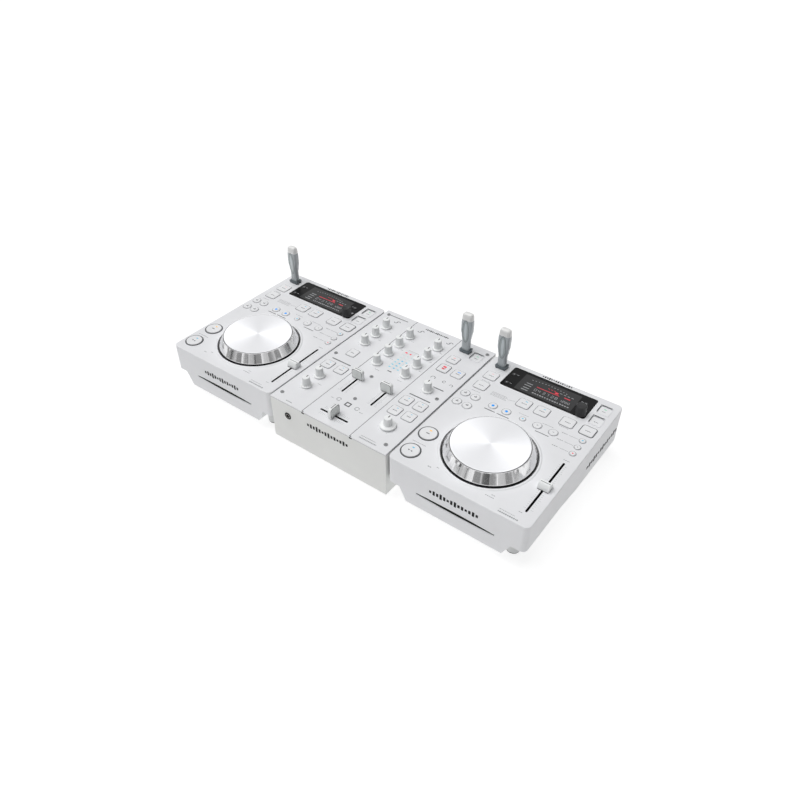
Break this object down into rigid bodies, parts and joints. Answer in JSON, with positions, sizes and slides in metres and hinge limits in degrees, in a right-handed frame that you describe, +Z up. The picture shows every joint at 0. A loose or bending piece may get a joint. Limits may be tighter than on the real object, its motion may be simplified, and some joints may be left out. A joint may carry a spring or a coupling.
{
  "type": "dj controller",
  "caption": "White disc jockey set: a slot-loading player with a jog wheel on each side of a channel mixer with knobs and faders, each holding an upright memory stick.",
  "frame": {"origin": "on the table under the centre of the row's overall box", "axes": "+X to the right along the row, +Y to the back, +Z up"},
  "size_m": [0.6716, 0.3091, 0.163],
  "materials": {
    "white_shell": "smooth satin-gloss white",
    "grey_shell": "fine-textured pale grey",
    "mixer_paint": "satin white paint",
    "faceplate_paint": "satin white paint",
    "key_plastic": "satin white",
    "knob_plastic": "soft satin white",
    "black_plastic": "satin black",
    "display_gloss": "gloss black window",
    "chrome": "mirror",
    "jog_aluminium": "fine spun",
    "foot_rubber": "matt",
    "board": "solder mask",
    "steel": "zinc plated",
    "screw_steel": "plated",
    "collar_plastic": "satin dark grey",
    "stick_plastic": "clear grey shell over a dark core",
    "meter_lens": "frosted light bars",
    "jack_metal": "nickel plated"
  },
  "bodies": {
    "root": {"player_upper_case_left": "white_shell", "player_lower_case_left": "grey_shell", "player_upper_case_right": "white_shell", "player_lower_case_right": "grey_shell", "mixer_chassis": "mixer_paint", "mixer_faceplate": "faceplate_paint", "display_windows": "display_gloss", "disc_drives": "steel", "jog_wells": "black_plastic", "circuit_boards": "board", "feet": "foot_rubber", "stick_sockets": "collar_plastic", "slider_units": "steel", "potentiometers": "steel", "level_meter": "meter_lens", "signal_jacks": "jack_metal", "power_inlets": "black_plastic", "power_supplies": "black_plastic", "faceplate_screws": "screw_steel"},
    "jog_wheel_left": {"jog_ring_left": "chrome", "jog_top_left": "jog_aluminium"},
    "play_button_left": {"play_button_left": "key_plastic"},
    "cue_button_left": {"cue_button_left": "key_plastic"},
    "round_keys_left": {"round_keys_left": "key_plastic"},
    "square_keys_left": {"square_keys_left": "key_plastic"},
    "display_keys_left": {"display_keys_left": "black_plastic"},
    "selector_left": {"selector_knob_left": "black_plastic"},
    "tempo_slider_left": {"tempo_knob_left": "knob_plastic"},
    "stick_left": {"memory_stick_left": "stick_plastic"},
    "jog_wheel_right": {"jog_ring_right": "chrome", "jog_top_right": "jog_aluminium"},
    "play_button_right": {"play_button_right": "key_plastic"},
    "cue_button_right": {"cue_button_right": "key_plastic"},
    "round_keys_right": {"round_keys_right": "key_plastic"},
    "square_keys_right": {"square_keys_right": "key_plastic"},
    "display_keys_right": {"display_keys_right": "black_plastic"},
    "selector_right": {"selector_knob_right": "black_plastic"},
    "tempo_slider_right": {"tempo_knob_right": "knob_plastic"},
    "stick_right": {"memory_stick_right": "stick_plastic"},
    "mic_level": {"mic_level_knob": "knob_plastic"},
    "mic_high": {"mic_high_knob": "knob_plastic"},
    "mic_low": {"mic_low_knob": "knob_plastic"},
    "ch1_trim": {"ch1_trim_knob": "knob_plastic"},
    "ch1_high": {"ch1_high_knob": "knob_plastic"},
    "ch1_mid": {"ch1_mid_knob": "knob_plastic"},
    "ch1_low": {"ch1_low_knob": "knob_plastic"},
    "ch2_trim": {"ch2_trim_knob": "knob_plastic"},
    "ch2_high": {"ch2_high_knob": "knob_plastic"},
    "ch2_mid": {"ch2_mid_knob": "knob_plastic"},
    "ch2_low": {"ch2_low_knob": "knob_plastic"},
    "phones_mix": {"phones_mix_knob": "knob_plastic"},
    "phones_level": {"phones_level_knob": "knob_plastic"},
    "master_level": {"master_level_knob": "knob_plastic"},
    "effect": {"effect_knob": "knob_plastic"},
    "ch1_fader_cap": {"ch1_fader": "knob_plastic"},
    "ch2_fader_cap": {"ch2_fader": "knob_plastic"},
    "crossfader_cap": {"crossfader": "knob_plastic"},
    "mixer_left_keys": {"mixer_left_keys": "key_plastic"},
    "mixer_right_keys": {"mixer_right_keys": "key_plastic"},
    "stick_mixer": {"memory_stick_mixer": "stick_plastic"}
  },
  "joints": [
    {"name": "jog_turn_left", "type": "hinge", "parent": "root", "child": "jog_wheel_left", "pos_m": [-0.2253, -0.06365, 0.099], "axis": [0, 0, 1], "continuous": true},
    {"name": "play_press_left", "type": "slide", "parent": "root", "child": "play_button_left", "axis": [0, 0, -1], "range_m": [0, 0.0012], "stiffness_N_per_m": 400, "springref_m": -0.001},
    {"name": "cue_press_left", "type": "slide", "parent": "root", "child": "cue_button_left", "axis": [0, 0, -1], "range_m": [0, 0.0012], "stiffness_N_per_m": 400, "springref_m": -0.001},
    {"name": "round_keys_press_left", "type": "slide", "parent": "root", "child": "round_keys_left", "axis": [0, 0, -1], "range_m": [0, 0.0008], "stiffness_N_per_m": 800, "springref_m": -0.001},
    {"name": "square_keys_press_left", "type": "slide", "parent": "root", "child": "square_keys_left", "axis": [0, 0, -1], "range_m": [0, 0.0008], "stiffness_N_per_m": 800, "springref_m": -0.001},
    {"name": "display_keys_press_left", "type": "slide", "parent": "root", "child": "display_keys_left", "axis": [0, 0, -1], "range_m": [0, 0.0008], "stiffness_N_per_m": 800, "springref_m": -0.001},
    {"name": "selector_turn_left", "type": "hinge", "parent": "root", "child": "selector_left", "pos_m": [-0.1596, 0.08675, 0.099], "axis": [0, 0, 1], "continuous": true},
    {"name": "tempo_slide_left", "type": "slide", "parent": "root", "child": "tempo_slider_left", "axis": [0, 1, 0], "range_m": [-0.048, 0.054]},
    {"name": "stick_pull_left", "type": "slide", "parent": "root", "child": "stick_left", "axis": [0, 0, 1], "range_m": [0, 0.02]},
    {"name": "jog_turn_right", "type": "hinge", "parent": "root", "child": "jog_wheel_right", "pos_m": [0.2243, -0.06365, 0.099], "axis": [0, 0, 1], "continuous": true},
    {"name": "play_press_right", "type": "slide", "parent": "root", "child": "play_button_right", "axis": [0, 0, -1], "range_m": [0, 0.0012], "stiffness_N_per_m": 400, "springref_m": -0.001},
    {"name": "cue_press_right", "type": "slide", "parent": "root", "child": "cue_button_right", "axis": [0, 0, -1], "range_m": [0, 0.0012], "stiffness_N_per_m": 400, "springref_m": -0.001},
    {"name": "round_keys_press_right", "type": "slide", "parent": "root", "child": "round_keys_right", "axis": [0, 0, -1], "range_m": [0, 0.0008], "stiffness_N_per_m": 800, "springref_m": -0.001},
    {"name": "square_keys_press_right", "type": "slide", "parent": "root", "child": "square_keys_right", "axis": [0, 0, -1], "range_m": [0, 0.0008], "stiffness_N_per_m": 800, "springref_m": -0.001},
    {"name": "display_keys_press_right", "type": "slide", "parent": "root", "child": "display_keys_right", "axis": [0, 0, -1], "range_m": [0, 0.0008], "stiffness_N_per_m": 800, "springref_m": -0.001},
    {"name": "selector_turn_right", "type": "hinge", "parent": "root", "child": "selector_right", "pos_m": [0.29, 0.08675, 0.099], "axis": [0, 0, 1], "continuous": true},
    {"name": "tempo_slide_right", "type": "slide", "parent": "root", "child": "tempo_slider_right", "axis": [0, 1, 0], "range_m": [-0.048, 0.054]},
    {"name": "stick_pull_right", "type": "slide", "parent": "root", "child": "stick_right", "axis": [0, 0, 1], "range_m": [0, 0.02]},
    {"name": "mic_level_turn", "type": "hinge", "parent": "root", "child": "mic_level", "pos_m": [-0.0807, 0.09945, 0.097], "axis": [0, 0, 1], "range_deg": [-150, 150]},
    {"name": "mic_high_turn", "type": "hinge", "parent": "root", "child": "mic_high", "pos_m": [-0.0807, 0.06945, 0.097], "axis": [0, 0, 1], "range_deg": [-150, 150]},
    {"name": "mic_low_turn", "type": "hinge", "parent": "root", "child": "mic_low", "pos_m": [-0.0807, 0.04025, 0.097], "axis": [0, 0, 1], "range_deg": [-150, 150]},
    {"name": "ch1_trim_turn", "type": "hinge", "parent": "root", "child": "ch1_trim", "pos_m": [-0.0306, 0.09945, 0.097], "axis": [0, 0, 1], "range_deg": [-150, 150]},
    {"name": "ch1_high_turn", "type": "hinge", "parent": "root", "child": "ch1_high", "pos_m": [-0.0306, 0.06945, 0.097], "axis": [0, 0, 1], "range_deg": [-150, 150]},
    {"name": "ch1_mid_turn", "type": "hinge", "parent": "root", "child": "ch1_mid", "pos_m": [-0.0306, 0.03935, 0.097], "axis": [0, 0, 1], "range_deg": [-150, 150]},
    {"name": "ch1_low_turn", "type": "hinge", "parent": "root", "child": "ch1_low", "pos_m": [-0.0306, 0.00815, 0.097], "axis": [0, 0, 1], "range_deg": [-150, 150]},
    {"name": "ch2_trim_turn", "type": "hinge", "parent": "root", "child": "ch2_trim", "pos_m": [0.0265, 0.09945, 0.097], "axis": [0, 0, 1], "range_deg": [-150, 150]},
    {"name": "ch2_high_turn", "type": "hinge", "parent": "root", "child": "ch2_high", "pos_m": [0.0265, 0.06945, 0.097], "axis": [0, 0, 1], "range_deg": [-150, 150]},
    {"name": "ch2_mid_turn", "type": "hinge", "parent": "root", "child": "ch2_mid", "pos_m": [0.0265, 0.03935, 0.097], "axis": [0, 0, 1], "range_deg": [-150, 150]},
    {"name": "ch2_low_turn", "type": "hinge", "parent": "root", "child": "ch2_low", "pos_m": [0.0265, 0.00815, 0.097], "axis": [0, 0, 1], "range_deg": [-150, 150]},
    {"name": "phones_mix_turn", "type": "hinge", "parent": "root", "child": "phones_mix", "pos_m": [-0.0816, -0.07325, 0.097], "axis": [0, 0, 1], "range_deg": [-150, 150]},
    {"name": "phones_level_turn", "type": "hinge", "parent": "root", "child": "phones_level", "pos_m": [-0.0816, -0.10385, 0.097], "axis": [0, 0, 1], "range_deg": [-150, 150]},
    {"name": "master_level_turn", "type": "hinge", "parent": "root", "child": "master_level", "pos_m": [0.0762, -0.00165, 0.097], "axis": [0, 0, 1], "range_deg": [-150, 150]},
    {"name": "effect_turn", "type": "hinge", "parent": "root", "child": "effect", "pos_m": [0.0777, -0.10455, 0.097], "axis": [0, 0, 1], "range_deg": [-150, 150]},
    {"name": "ch1_fader_slide", "type": "slide", "parent": "root", "child": "ch1_fader_cap", "axis": [0, 1, 0], "range_m": [-0.0375, 0]},
    {"name": "ch2_fader_slide", "type": "slide", "parent": "root", "child": "ch2_fader_cap", "axis": [0, 1, 0], "range_m": [-0.0375, 0]},
    {"name": "crossfader_slide", "type": "slide", "parent": "root", "child": "crossfader_cap", "axis": [1, 0, 0], "range_m": [-0.0235, 0.0235]},
    {"name": "mixer_left_keys_press", "type": "slide", "parent": "root", "child": "mixer_left_keys", "axis": [0, 0, -1], "range_m": [0, 0.0008], "stiffness_N_per_m": 800, "springref_m": -0.001},
    {"name": "mixer_right_keys_press", "type": "slide", "parent": "root", "child": "mixer_right_keys", "axis": [0, 0, -1], "range_m": [0, 0.0008], "stiffness_N_per_m": 800, "springref_m": -0.001},
    {"name": "stick_pull_mixer", "type": "slide", "parent": "root", "child": "stick_mixer", "axis": [0, 0, 1], "range_m": [0, 0.02]}
  ]
}
